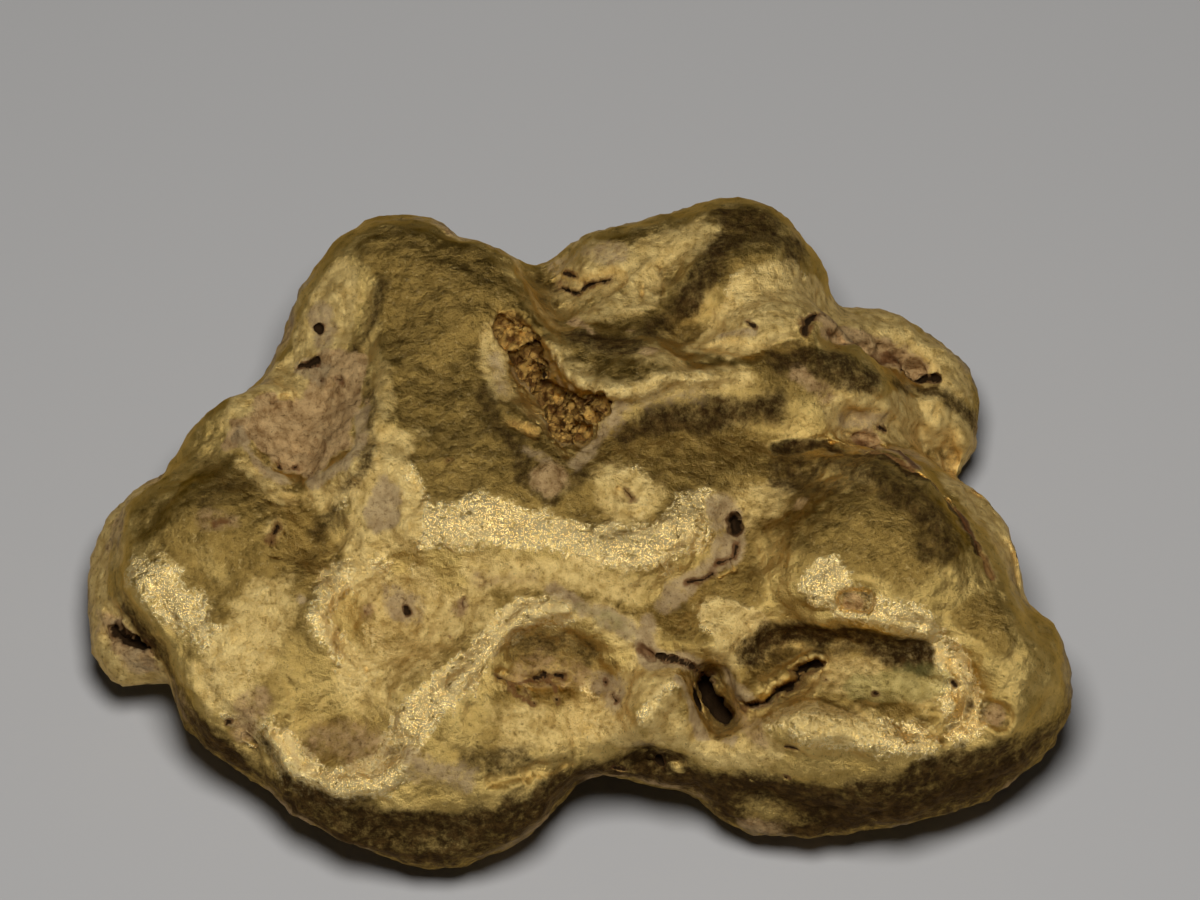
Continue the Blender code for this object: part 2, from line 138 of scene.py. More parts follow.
FACE_PITS = (
    # flank window
    Stroke(((-9.42, 4.1), (-9.33, 4.0)), 0.12, -0.35, 0.3),
    Stroke(((-9.97, 2.8), (-9.7, 2.83), (-9.43, 3.0)), 0.126, -0.41, 0.2),
    Stroke(((-9.3, 2.3),), 0.096, -0.23, 0.2),
    Stroke(((-8.7, 2.33), (-8.55, 2.35)), 0.089, -0.23, 0.2),
    Stroke(((-10.9, 1.65), (-10.4, 1.85)), 0.12, -0.1, 0.1),
    Stroke(((-10.63, -0.53),), 0.089, -0.18, 0.2),
    Stroke(((-10.1, -0.57),), 0.089, -0.18, 0.2),
    # left body
    Stroke(((-10.65, -2.5), (-10.75, -2.75)), 0.148, -0.36, 0.2),
    Stroke(((-10.8, -2.9), (-10.9, -3.2)), 0.085, -0.14, 0.1),
    Stroke(((-10.9, -3.57), (-10.6, -3.6)), 0.089, -0.14, 0.1),
    Stroke(((-4.97, -0.37),), 0.085, -0.18, 0.2),
    Stroke(((-16.1, -5.9), (-15.6, -6.35), (-14.95, -6.6)), 0.3, -0.7, 0.1),
    Stroke(((-12.27, -8.99),), 0.1, -0.2, 0.1),
    Stroke(((-11.7, -9.5), (-11.45, -9.7)), 0.1, -0.12, 0.1),
    # pinholes on the worn top
    Stroke(((4.43, -2.38), (4.47, -2.62)), 0.27, -1, 0.4),
    Stroke(((0.85, -1.3), (1.0, -1.5), (1.05, -1.65)), 0.1, -0.3, 0.2),
    Stroke(((0.6, -1.25), (0.9, -1.4)), 0.085, -0.14, 0.1),
    Stroke(((4.5, -3.17), (4.43, -3.57), (3.9, -3.73)), 0.096, -0.23, 0.1),
    Stroke(((3.73, -4.1), (3.4, -4.3), (2.87, -4.37)), 0.104, -0.32, 0.1),
    Stroke(((4.3, -3.6), (4.4, -4.0), (3.9, -4.25)), 0.085, -0.14, 0.1),
    Stroke(((4.87, 4.25), (5.1, 4.12)), 0.085, -0.23, 0.1),
    # back slits
    Stroke(((-1.27, 5.4), (-0.73, 5.2)), 0.148, -0.5, 0.2),
    Stroke(((-0.6, 5.35), (-0.1, 5.6), (0.33, 5.67)), 0.133, -0.45, 0.2),
    Stroke(((-1.2, 5.9), (-0.8, 5.8)), 0.089, -0.18, 0.2),
    Stroke(((0.87, 5.53),), 0.085, -0.14, 0.1),
    Stroke(((1.43, 5.45), (1.4, 5.15)), 0.085, -0.14, 0.1),
    Stroke(((2.0, 6.0),), 0.085, -0.14, 0.1),
    # edge of the right lobe
    Stroke(((7.6, 0.28), (8.3, 0.1), (8.9, -0.1), (9.6, -0.37), (10.2, -0.65), (10.7, -0.9), (11.1, -1.2), (11.5, -1.6),
            (11.8, -2.1), (12.1, -2.7), (12.4, -3.3), (12.65, -3.75), (12.9, -4.2)), 0.12, -0.17, 0.2),
    # arm
    Stroke(((9.9, 2.9), (10.2, 2.45), (10.7, 2.35), (11.3, 2.4)), 0.17, -0.63, 0.2),
    Stroke(((7.2, 4.5), (6.9, 4.25), (6.8, 3.9)), 0.148, -0.36, 0.1),
    Stroke(((9.3, 0.75), (9.5, 0.65)), 0.096, -0.23, 0.1),
    Stroke(((8.3, 0.25), (9.0, 0.15)), 0.118, -0.23, 0.1),
    # cavity
    Stroke(((-2.05, 2.65), (-1.9, 2.45)), 0.13, -0.35, 0.2),
    # left basin
    Stroke(((-6.43, -5.2), (-6.35, -5.35)), 0.096, -0.27, 0.2),
    Stroke(((-6.57, -4.97),), 0.085, -0.14, 0.2),
    Stroke(((-6.07, -5.3),), 0.085, -0.14, 0.2),
    Stroke(((-4.47, -4.97), (-4.5, -5.15)), 0.089, -0.23, 0.2),
    Stroke(((-4.93, -6.17),), 0.085, -0.14, 0.2),
    Stroke(((-7.7, -7.2),), 0.089, -0.14, 0.1),
    Stroke(((-7.75, -5.4),), 0.118, -0.14, 0.1),
    # middle basin
    Stroke(((-3.4, -7.5), (-3.17, -7.6), (-2.93, -7.87)), 0.096, -0.27, 0.2),
    Stroke(((-2.5, -7.9), (-2.35, -8.15)), 0.089, -0.23, 0.2),
    Stroke(((-2.15, -7.55), (-1.85, -7.42), (-1.6, -7.8)), 0.105, -0.36, 0.1),
    Stroke(((-1.5, -7.4), (-1.25, -7.45)), 0.089, -0.18, 0.2),
    Stroke(((-1.43, -8.23),), 0.096, -0.23, 0.2),
    Stroke(((-2.17, -8.33),), 0.089, -0.18, 0.2),
    Stroke(((0.17, -7.67),), 0.085, -0.18, 0.2),
    Stroke(((0.4, -8.05), (0.55, -8.25)), 0.096, -0.23, 0.2),
    # crevice and lip
    Stroke(((1.4, -6.5), (1.6, -6.7), (1.75, -6.9)), 0.13, -0.16, 0.1),
    Stroke(((1.9, -6.76), (2.15, -6.8), (2.4, -6.86), (2.65, -6.95), (2.9, -7.05), (3.1, -7.17), (3.3, -7.3), (3.5, -7.45)),
           0.078, -0.24, 0.1),
    Stroke(((3.45, -7.7), (3.6, -8.2), (3.95, -8.6), (4.1, -8.8)), 0.47, -1.4, 0.4),
    Stroke(((3.1, -8.0), (3.3, -8.5)), 0.3, -0.9, 0.4),
    Stroke(((4.9, -8.4), (5.8, -8.0), (6.6, -7.6)), 0.3, -0.9, 0.3),
    Stroke(((6.5, -7.35), (7.1, -7.05)), 0.33, -1.1, 0.3),
    Stroke(((7.3, -7.1), (7.45, -7.6)), 0.089, -0.32, 0.1),
    # right lobe
    Stroke(((9.07, -8.0),), 0.111, -0.32, 0.2),
    Stroke(((11.6, -7.65), (11.73, -7.77)), 0.104, -0.27, 0.2),
    Stroke(((10.87, -7.53),), 0.085, -0.14, 0.2),
    Stroke(((6.1, -10.77),), 0.111, -0.27, 0.2),
    Stroke(((6.1, -9.75), (6.45, -9.8)), 0.089, -0.18, 0.1),
    Stroke(((5.0, -10.8),), 0.085, -0.14, 0.1),
    Stroke(((1.9, -10.1), (2.03, -10.3)), 0.185, -0.32, 0.1),
    Stroke(((0.5, -10.5), (0.8, -10.55)), 0.096, -0.18, 0.1),
)

# Where each finish lies on the face: strokes whose rise is the finish's strength in the middle. Cream, tan and
# mauve are thin mineral films. Patina is dulled dark metal, and also painted shade on the basins' upper walls,
# in creases and along the bottom walls. Olive is dull worn metal on the tops, darker also as painted shade. The
# deep pits are filled with near-black painted shade, and foil is burnished metal, painted lighter as a highlight
# along the bright ridges and bands.
FACE_FINISHES = {
    "cream": (
        Stroke(((-8.8, 5.0), (-9.2, 3.9), (-10.2, 2.6), (-11.6, 1.5)), 1.3, 1.0, 0.75),
        Stroke(((-7.3, 2.6), (-7.2, 1.1)), 0.55, 0.8, 0.3),
        Stroke(((-11.8, -0.4), (-10.6, -1.5), (-8.9, -1.6), (-7.9, -0.6)), 0.6, 0.9, 0.3),
        Stroke(((-7.3, 0.0), (-7.2, -2.5)), 1.45, 1.0, 0.6),
        Stroke(((-10.75, -2.75),), 0.7, 0.6, 0.2),
        Stroke(((-7.0, -5.0), (-4.8, -5.4)), 1.7, 0.85, 0.4),
        Stroke(((-7.6, -7.4), (-6.2, -6.8)), 1.8, 0.75, 0.4),
        Stroke(((-4.0, -4.0), (-1.3, -4.2), (1.2, -4.6)), 0.9, 0.9, 0.3),
        Stroke(((-2.6, -9.0), (0.2, -8.9)), 1.4, 0.8, 0.3),
        Stroke(((1.6, -7.4), (0.9, -8.2), (0.8, -9.3)), 1.2, 0.95, 0.4),
        Stroke(((-0.3, -5.3), (1.4, -6.2)), 0.9, 0.9, 0.3),
        Stroke(((4.0, -5.2), (4.8, -5.9), (4.3, -6.7)), 1.1, 0.9, 0.4),
        Stroke(((2.2, -8.4), (2.0, -9.4), (4.2, -10.0), (5.6, -9.9)), 0.9, 0.9, 0.3),
        Stroke(((7.6, -7.4), (10.6, -7.6)), 1.1, 0.75, 0.3),
        Stroke(((5.9, -8.9), (8.4, -9.0)), 1.1, 0.6, 0.3),
        Stroke(((-0.7, 5.5), (1.5, 6.2), (3.3, 7.2)), 1.4, 1.0, 0.4),
        Stroke(((-0.2, 4.6), (1.4, 4.9)), 1.0, 0.9, 0.3),
        Stroke(((4.4, 4.0), (6.4, 5.2)), 1.5, 1.0, 0.7),
        Stroke(((-3.5, 3.8), (-3.6, 2.6), (-3.2, 1.9)), 0.75, 0.9, 0.3),
        Stroke(((1.7, 3.2), (2.4, 2.9)), 1.0, 0.9, 0.3),
        Stroke(((-1.4, 3.3), (-0.4, 2.1), (1.2, 2.0), (3.0, 2.5), (4.6, 2.4)), 0.8, 0.8, 0.3),
        Stroke(((0.5, -1.2), (1.5, -1.4), (1.0, -1.7)), 1.05, 0.9, 0.3),
        Stroke(((4.6, -2.2), (5.4, -1.6)), 1.2, 0.8, 0.3),
        Stroke(((7.4, 4.8), (9.4, 4.1), (11.0, 3.1), (12.0, 2.5)), 1.25, 1.0, 0.6),
        Stroke(((8.2, 1.2), (10.2, 1.0), (11.6, 0.8), (12.2, 0.0)), 1.3, 1.0, 0.7),
        Stroke(((12.2, -1.4), (13.2, -2.6), (13.7, -4.2)), 1.1, 1.0, 0.6),
        Stroke(((-10.9, -4.9), (-11.5, -6.2), (-12.4, -7.6)), 1.6, 0.85, 0.4),
        Stroke(((-16.5, -1.6), (-17.0, -4.2), (-16.6, -6.4), (-14.9, -7.6)), 1.9, 1.0, 0.7),
    ),
    "tan": (
        Stroke(((-10.8, 0.6), (-10.0, 0.1), (-9.1, 0.1), (-8.9, 1.2), (-8.7, 2.0)), 1.5, 1.0, 0.75),
        Stroke(((-16.2, -5.9), (-15.2, -6.8)), 0.9, 0.9, 0.3),
        Stroke(((-15.6, -1.8), (-16.2, -3.0)), 0.8, 0.6, 0.2),
        Stroke(((-7.7, -5.3),), 0.6, 0.9, 0.3),
        Stroke(((-4.6, -5.3),), 0.6, 0.8, 0.3),
        Stroke(((-9.0, -9.5), (-7.6, -9.8)), 1.3, 0.55, 0.1),
        Stroke(((-2.8, -7.4), (-1.0, -7.4)), 1.0, 0.5, 0.2),
        Stroke(((-4.0, -4.3), (-2.2, -4.2)), 0.5, 0.4, 0.1),
        Stroke(((4.6, -8.6), (5.2, -9.4)), 0.8, 0.55, 0.1),
        Stroke(((-1.6, -0.85),), 0.9, 0.9, 0.4),
        Stroke(((1.6, 3.3),), 0.5, 0.8, 0.3),
        Stroke(((7.6, 4.2), (8.6, 3.6), (9.6, 3.1), (10.5, 2.8)), 0.85, 1.0, 0.5),
        Stroke(((8.8, 0.25), (10.4, -0.45)), 0.65, 1.0, 0.4),
        Stroke(((5.0, -12.4), (9.0, -12.7)), 1.0, 0.9, 0.3),
        Stroke(((8.4, -5.0),), 0.5, 0.7, 0.4),
        Stroke(((13.0, -8.7),), 0.5, 0.7, 0.4),
        Stroke(((7.5, 1.9), (6.4, 2.6)), 0.6, 0.7, 0.2),
        Stroke(((6.6, -1.7),), 0.4, 0.6, 0.2),
        Stroke(((-11.8, -9.4), (-11.2, -8.2)), 0.8, 0.7, 0.2),
        Stroke(((-13.0, -2.3), (-12.0, -2.4)), 0.6, 0.5, 0.2),
        Stroke(((-0.9, 4.3), (-0.3, 3.9)), 0.35, 0.9, 0.2),
        Stroke(((1.0, 4.0),), 0.3, 0.8, 0.2),
    ),
    "mauve": (
        Stroke(((-9.4, 4.4), (-9.2, 3.9)), 0.75, 0.9, 0.2),
        Stroke(((-10.0, 2.7), (-9.3, 2.5)), 0.6, 0.8, 0.2),
        Stroke(((-12.0, 0.6), (-11.4, -0.35), (-10.5, -0.95), (-9.3, -1.0), (-8.4, -0.4), (-7.9, 0.5), (-7.9, 1.2)), 0.42, 1.0, 0.3),
        Stroke(((-7.1, -1.4), (-7.2, -2.1)), 0.8, 1.0, 0.5),
        Stroke(((-1.6, 6.2), (0.6, 6.6)), 0.7, 0.7, 0.2),
        Stroke(((4.0, -2.1), (4.5, -2.5), (4.3, -3.4)), 0.75, 0.95, 0.4),
        Stroke(((4.2, -3.6), (3.2, -4.2), (2.0, -5.2)), 0.5, 0.9, 0.3),
        Stroke(((1.6, -5.6), (1.4, -6.4), (1.8, -7.0), (3.0, -7.0), (4.3, -7.6), (4.8, -8.2)), 0.45, 1.0, 0.3),
        Stroke(((2.6, -7.6), (3.0, -8.5), (3.3, -9.3), (4.4, -9.6)), 0.35, 1.0, 0.3),
        Stroke(((-1.5, -4.6), (-0.6, -5.1), (0.9, -5.9)), 0.55, 0.95, 0.3),
        Stroke(((-6.5, -5.1),), 0.9, 1.0, 0.4),
        Stroke(((-8.0, -9.7),), 0.9, 0.4, 0.0),
        Stroke(((0.2, -7.6), (0.6, -8.2)), 0.7, 0.9, 0.3),
        Stroke(((-6.1, -10.2), (-4.5, -10.8)), 0.8, 0.8, 0.2),
        Stroke(((-9.83, -4.93),), 0.3, 0.9, 0.3),
        Stroke(((-2.5, 0.05), (-1.8, -0.3)), 0.4, 0.7, 0.1),
        Stroke(((0.4, 0.7), (0.9, 1.5), (1.8, 1.8), (3.2, 1.8)), 0.6, 0.5, 0.1),
        Stroke(((-0.9, -0.5), (-0.2, 0.2), (0.3, 0.9), (0.7, 1.4)), 0.4, 0.9, 0.2),
        Stroke(((-3.5, 3.0), (-3.2, 2.0)), 0.5, 0.7, 0.1),
        Stroke(((5.0, 3.9), (4.0, 3.8)), 0.3, 0.7, 0.2),
        Stroke(((9.4, 1.1), (8.0, 1.0)), 0.5, 0.7, 0.2),
        Stroke(((-15.8, -6.0), (-15.2, -7.0)), 0.7, 0.7, 0.2),
    ),
    # patina: dulled dark metal, and painted shade on the basins' upper walls, in the creases and on the bottom walls
    "patina_and_shade": (
        Stroke(((-7.3, 5.5), (-7.6, 4.3), (-8.1, 3.4), (-8.0, 2.6)), 0.5, 0.75, 0.1),
        Stroke(((-7.8, 2.6), (-7.6, 1.2), (-7.7, -0.5), (-8.4, -1.3)), 0.42, 0.7, 0.1),
        Stroke(((-8.7, -2.2), (-9.2, -2.6)), 0.7, 0.6, 0.2),
        Stroke(((-11.8, -0.9), (-13.0, -1.6)), 0.8, 0.5, 0.1),
        Stroke(((-3.9, 2.2), (-3.4, 0.8), (-2.4, -0.3)), 0.6, 0.7, 0.2),
        Stroke(((4.3, 7.8), (6.4, 6.9)), 1.3, 0.8, 0.3),
        Stroke(((4.2, 7.0), (3.4, 5.8), (2.7, 4.6), (1.6, 4.0)), 0.9, 0.9, 0.3),
        Stroke(((-0.9, 3.8), (0.9, 3.5)), 1.0, 0.9, 0.3),
        Stroke(((0.9, 0.5), (2.6, 1.1), (4.4, 1.2), (5.8, 1.5)), 0.9, 0.9, 0.2),
        Stroke(((6.0, 2.9), (7.6, 2.8), (9.0, 2.3)), 0.85, 0.9, 0.4),
        Stroke(((9.0, 2.3), (10.4, 2.1), (11.8, 1.6), (12.6, 0.9)), 0.5, 0.8, 0.2),
        Stroke(((6.0, -0.6), (7.6, -0.4), (9.0, -0.8), (10.2, -1.5), (11.3, -3.0)), 1.1, 0.75, 0.3),
        Stroke(((5.0, -6.9), (5.6, -6.1), (8.3, -6.0), (10.6, -6.8)), 0.8, 1.0, 0.4),
        Stroke(((-2.6, -6.6), (-1.4, -6.2), (-0.4, -6.6)), 1.0, 0.6, 0.1),
        Stroke(((-2.6, 0.3), (-2.5, -0.9), (-1.6, -1.6), (-0.7, -0.8)), 0.5, 0.7, 0.2),
        Stroke(((8.2, -4.95), (8.6, -5.0)), 0.5, 0.6, 0.3),
        Stroke(((12.8, -8.6), (13.2, -8.8)), 0.5, 0.6, 0.3),
        Stroke(((-9.8, -11.6), (-7.4, -12.3), (-4.2, -12.4), (-1.6, -11.3), (0.5, -10.9)), 1.2, 1.0, 0.4),
        Stroke(((-6.4, -13.2), (-4.2, -13.3), (-2.2, -12.7)), 1.3, 0.9, 0.5),
        Stroke(((-4.4, -10.3), (-2.4, -10.2)), 0.7, 0.6, 0.1),
        Stroke(((1.6, -10.6), (4.2, -11.3), (7.2, -11.3), (10.6, -10.8), (13.2, -9.9)), 1.0, 1.0, 0.4),
        Stroke(((5.8, 0.0), (7.5, 0.2), (8.9, -0.2), (10.2, -0.8), (11.1, -1.3), (11.8, -2.2), (12.4, -3.4)),
               0.35, 1.0, 0.3),
        Stroke(((7.0, -1.2), (9.2, -1.0)), 1.0, 0.6, 0.2),
    ),
    "rust": (
        Stroke(((-10.7, -2.6), (-10.9, -3.1)), 0.35, 0.9, 0.1),
        Stroke(((-12.7, -2.45), (-12.3, -2.35)), 0.2, 0.9, 0.1),
        Stroke(((4.5, -3.17), (4.43, -3.57), (3.9, -3.73), (3.4, -4.3), (2.87, -4.37)), 0.24, 0.9, 0.2),
        Stroke(((-1.27, 5.4), (-0.1, 5.6)), 0.4, 0.8, 0.2),
        Stroke(((7.5, 3.9), (8.5, 3.4), (9.8, 3.0)), 0.4, 0.9, 0.2),
        Stroke(((8.7, 0.2), (10.4, -0.5)), 0.5, 0.9, 0.2),
        Stroke(((1.3, -6.55), (1.75, -6.75)), 0.3, 0.7, 0.0),
        Stroke(((8.9, -0.1), (9.6, -0.37), (10.2, -0.65), (11.1, -1.2), (11.8, -2.1), (12.4, -3.3), (12.9, -4.2)), 0.3, 0.9, 0.2),
        Stroke(((4.8, -8.5), (5.8, -8.0), (6.8, -7.4)), 0.5, 0.9, 0.3),
        Stroke(((-3.5, -7.4), (-3.0, -7.7), (-2.8, -8.1), (-2.2, -8.4)), 0.17, 0.9, 0.2),
        Stroke(((-2.9, -7.8), (-2.3, -7.6), (-1.7, -7.45), (-1.2, -7.5)), 0.17, 0.9, 0.2),
        Stroke(((-1.7, -7.6), (-1.5, -7.9), (-1.4, -8.4)), 0.2, 0.9, 0.2),
        Stroke(((6.8, 4.0),), 0.5, 0.9, 0.2),
        Stroke(((-4.93, -6.17),), 0.2, 0.8, 0.2),
    ),
    "amber": (
        Stroke(((-3.1, 4.0), (-2.4, 3.6), (-2.2, 2.8), (-1.9, 2.0), (-1.5, 1.2), (-1.2, 0.5)), 0.75, 1.0, 0.5),
        Stroke(((-1.6, 2.0), (-0.7, 1.4), (0.0, 1.4)), 0.65, 1.0, 0.6),
        Stroke(((-1.0, 0.9), (-0.7, 0.7)), 0.8, 1.0, 0.6),
        Stroke(((-3.0, 0.9), (-2.3, 0.6)), 0.4, 0.8, 0.2),
    ),
    # foil: burnished metal, painted lighter as a highlight along the bright ridges and bands
    "foil_and_highlight": (
        Stroke(((-5.7, -2.6), (-3.7, -2.2), (-1.3, -2.7), (0.9, -3.3), (2.6, -2.9), (3.1, -1.9)), 1.1, 1.0, 0.3),
        Stroke(((-1.4, -5.2), (-2.5, -5.5), (-3.8, -6.6), (-5.0, -7.6), (-5.9, -8.8), (-6.7, -10.1),
                (-7.7, -11.1), (-9.1, -11.2), (-10.2, -10.5), (-10.9, -9.5)), 1.0, 1.0, 0.4),
        Stroke(((-15.4, -3.9), (-13.8, -5.2), (-12.4, -6.5), (-12.2, -7.9)), 1.2, 0.9, 0.1),
        Stroke(((-12.6, -6.6), (-12.1, -8.2), (-11.4, -9.6)), 0.9, 0.75, 0.1),
        Stroke(((-11.0, -4.9), (-11.2, -6.2)), 0.9, 0.5, 0.1),
        Stroke(((-12.4, -8.6), (-11.4, -9.7)), 0.35, 0.8, 0.2),
        Stroke(((-6.2, -4.0), (-5.0, -5.0), (-4.6, -5.9)), 0.5, 0.5, 0.1),
        Stroke(((-7.6, -5.9), (-7.2, -6.6)), 0.7, 0.5, 0.1),
        Stroke(((-8.5, -1.6), (-8.1, -0.7), (-7.3, -0.2), (-6.4, -0.7), (-6.0, -2.3)), 0.7, 0.8, 0.2),
        Stroke(((0.3, -1.0), (1.2, -0.6), (1.7, -1.3), (1.2, -2.1)), 0.4, 0.6, 0.1),
        Stroke(((-0.4, -7.9), (0.9, -8.9), (-0.2, -9.3)), 0.5, 0.6, 0.1),
        Stroke(((-0.8, -9.1), (0.6, -9.0)), 0.6, 0.7, 0.1),
        Stroke(((6.4, -9.3), (8.0, -9.4), (10.6, -9.4)), 0.9, 0.85, 0.2),
        Stroke(((1.4, -8.8), (2.0, -8.0), (2.6, -7.5)), 0.5, 1.0, 0.2),
        Stroke(((-7.2, -3.9), (-8.7, -4.4), (-9.2, -5.6), (-8.7, -6.5), (-8.0, -7.4)), 0.8, 1.0, 0.3),
        Stroke(((7.1, -4.4), (8.7, -5.0), (10.1, -5.8), (11.2, -6.7), (11.8, -7.8), (11.9, -9.0)), 1.15, 0.95, 0.3),
        Stroke(((4.0, -5.3), (4.7, -5.9)), 1.15, 1.0, 0.4),
        Stroke(((5.9, -8.8), (7.9, -8.9)), 1.0, 0.7, 0.3),
        Stroke(((4.8, 4.9), (6.6, 5.5)), 1.2, 0.9, 0.3),
        Stroke(((-1.6, 3.1), (-1.1, 2.5), (-0.4, 2.15), (0.4, 1.9), (1.2, 1.95), (2.3, 2.4), (3.6, 2.5)), 0.55, 0.9, 0.2),
    ),
    # olive: dull worn metal, darker on the tops as painted shade
    "olive_and_top_shade": (
        Stroke(((-14.6, -2.2), (-12.4, -2.6), (-10.6, -3.2)), 1.6, 0.9, 0.4),
        Stroke(((4.4, -0.4), (7.2, -2.6), (11.2, -2.6)), 2.0, 0.9, 0.5),
        Stroke(((-11.6, -0.6), (-13.6, -1.2)), 1.0, 0.9, 0.4),
    ),
    "green": (
        Stroke(((8.6, -7.8), (11.0, -7.6)), 0.8, 0.9, 0.3),
        Stroke(((-0.67, -5.17), (0.9, -5.9)), 0.6, 0.5, 0.2),
    ),
}


def direction(azimuth, elevation):
    """The unit vector that points to this azimuth and elevation, both in degrees."""
    azimuth = math.radians(azimuth)
    elevation = math.radians(elevation)
    level = math.cos(elevation)
    return Vector((math.sin(azimuth) * level, -math.cos(azimuth) * level, math.sin(elevation)))


def side_axes(side):
    """A side's directions to the right, up and towards the viewer."""
    towards = direction(side.azimuth, side.elevation)
    azimuth = math.radians(side.azimuth)
    right = Vector((math.cos(azimuth), math.sin(azimuth), 0))
    return right, towards.cross(right), towards


def mesh_vectors(mesh, attribute="co"):
    """One vector of every vertex, such as its co or its normal, as rows of an array."""
    rows = np.empty(len(mesh.vertices) * 3, np.float32)
    mesh.vertices.foreach_get(attribute, rows)
    return rows.reshape(-1, 3).astype(float)


def move_vertices(mesh, points):
    mesh.vertices.foreach_set("co", points.astype(np.float32).ravel())
    mesh.update()


def skin_tree(mesh):
    return BVHTree.FromPolygons([v.co for v in mesh.vertices], [p.vertices for p in mesh.polygons])


def path_on_skin(tree, side, path):
    """The points of the skin that show along a path across and up the side."""
    right, up, towards = side_axes(side)
    places = [side.middle + right * x + up * y for x, y in path]
    hits = [tree.ray_cast(place + towards * 50, -towards)[0] for place in places]
    return [np.array(hit or tree.find_nearest(place)[0]) for place, hit in zip(places, hits)]


def distance_to_path(points, path):
    """Each point's distance to the nearest place on a path of straight runs."""
    nearest = np.linalg.norm(points - path[0], axis=1)
    for start, end in zip(path, path[1:]):
        run = end - start
        share = np.clip((points - start) @ run / (run @ run), 0, 1)
        nearest = np.minimum(nearest, np.linalg.norm(points - start - share[:, None] * run, axis=1))
    return nearest


def smooth_step(low, high, value):
    share = np.clip((value - low) / (high - low), 0, 1)
    return share * share * (3 - 2 * share)


def stroke_weight(distance, stroke):
    return 1 - smooth_step(stroke.reach * stroke.flat, stroke.reach, distance)


def fractal(points, wavelength, octaves=3, offset=0):
    """Soft noise from about -1 to 1 at every point, with finer octaves over it."""
    shift = Vector((offset, offset, offset))
    return np.array([noise.fractal(Vector(p) / wavelength + shift, 1.0, 2.0, octaves) for p in points])


def chips(points, size, offset=0):
    """Angular chips of about this size, each tilted its own way, as a height from about -0.5 to 0.5."""
    shift = Vector((offset, offset, offset))
    heights = []
    for point in points:
        place = Vector(point) / size + shift
        middle = noise.voronoi(place)[1][0]
        heights.append((place - middle).dot(noise.cell_vector(middle * 31)) + 0.4 * noise.cell(middle * 17))
    return np.array(heights) - 0.2


def fine_skin(node):
    """The node's solid as one even fine skin, in millimetres, with its facets eased away."""
    mesh = node.data.copy()
    mesh.transform(Matrix.Scale(1 / MM, 4))
    thing = bpy.data.objects.new("skin", mesh)
    bpy.context.scene.collection.objects.link(thing)
    thing.modifiers.new("weld", "WELD").merge_threshold = 0.002
    thing.modifiers.new("round", "SUBSURF").levels = 2
    remesh = thing.modifiers.new("one_skin", "REMESH")
    remesh.mode = "VOXEL"
    remesh.voxel_size = VOXEL
    thing.modifiers.new("ease", "SMOOTH").iterations = EASE_PASSES
    graph = bpy.context.evaluated_depsgraph_get()
    fine = bpy.data.meshes.new_from_object(thing.evaluated_get(graph))
    bpy.data.objects.remove(thing)
    return fine


def relieve(mesh, side, strokes, wavelength, wobble):
    """Adds the strokes' relief to the mesh, with edges that wander by this share of their reach."""
    points = mesh_vectors(mesh)
    tree = skin_tree(mesh)
    wander = fractal(points, wavelength, 2) * wobble
    lift = np.zeros(len(points))
    for stroke in strokes:
        distance = distance_to_path(points, path_on_skin(tree, side, stroke.path)) + wander * stroke.reach
        lift += stroke.rise * stroke_weight(distance, stroke)
    move_vertices(mesh, points + lift[:, None] * np.array(side_axes(side)[2]))


def hollows(mesh):
    """How hollow the skin is at every vertex, from 0 on open ground to 1 in a deep fold."""
    thing = bpy.data.objects.new("skin", mesh.copy())
    bpy.context.scene.collection.objects.link(thing)
    thing.modifiers.new("ease", "SMOOTH").iterations = HOLLOW_PASSES
    graph = bpy.context.evaluated_depsgraph_get()
    eased = mesh_vectors(thing.evaluated_get(graph).data)
    bpy.data.objects.remove(thing)
    depth = np.sum((eased - mesh_vectors(mesh)) * mesh_vectors(mesh, "normal"), axis=1)
    return smooth_step(0.02, HOLLOW_DEPTH, depth)


def kept(mesh, name):
    values = np.empty(len(mesh.vertices), np.float32)
    mesh.attributes[name].data.foreach_get("value", values)
    return values


def keep(mesh, name, amount):
    mesh.attributes.new(name, "FLOAT", "POINT").data.foreach_set("value", amount.astype(np.float32))


def split(mesh, near):
    """Splits every edge whose two ends are near."""
    form = bmesh.new()
    form.from_mesh(mesh)
    bmesh.ops.triangulate(form, faces=form.faces)
    form.verts.index_update()
    edges = [edge for edge in form.edges if near[edge.verts[0].index] and near[edge.verts[1].index]]
    bmesh.ops.subdivide_edges(form, edges=edges, cuts=1, smooth=0)
    bmesh.ops.triangulate(form, faces=form.faces)
    form.to_mesh(mesh)
    form.free()


def near_strokes(mesh, side, strokes, margin):
    """Whether each vertex lies within the strokes' reach and this margin."""
    points = mesh_vectors(mesh)
    tree = skin_tree(mesh)
    near = np.zeros(len(points), bool)
    for stroke in strokes:
        path = path_on_skin(tree, side, stroke.path)
        near |= distance_to_path(points, path) < stroke.reach * 1.15 + margin
    return near


def rest(mesh):
    """Presses level whatever lies under the surface, or a little over it, so that the feet are flat."""
    points = mesh_vectors(mesh)
    points[points[:, 2] < FOOT_CLEARANCE, 2] = 0
    move_vertices(mesh, points)


def stroke_amount(points, tree, strokes, wander):
    """How strongly strokes on the face cover every point, from 0 to 1, with edges that wander."""
    amount = np.zeros(len(points))
    for stroke in strokes:
        distance = distance_to_path(points, path_on_skin(tree, FACE, stroke.path)) + wander * stroke.reach
        amount = np.maximum(amount, min(abs(stroke.rise), 1) * stroke_weight(distance, stroke))
    return amount


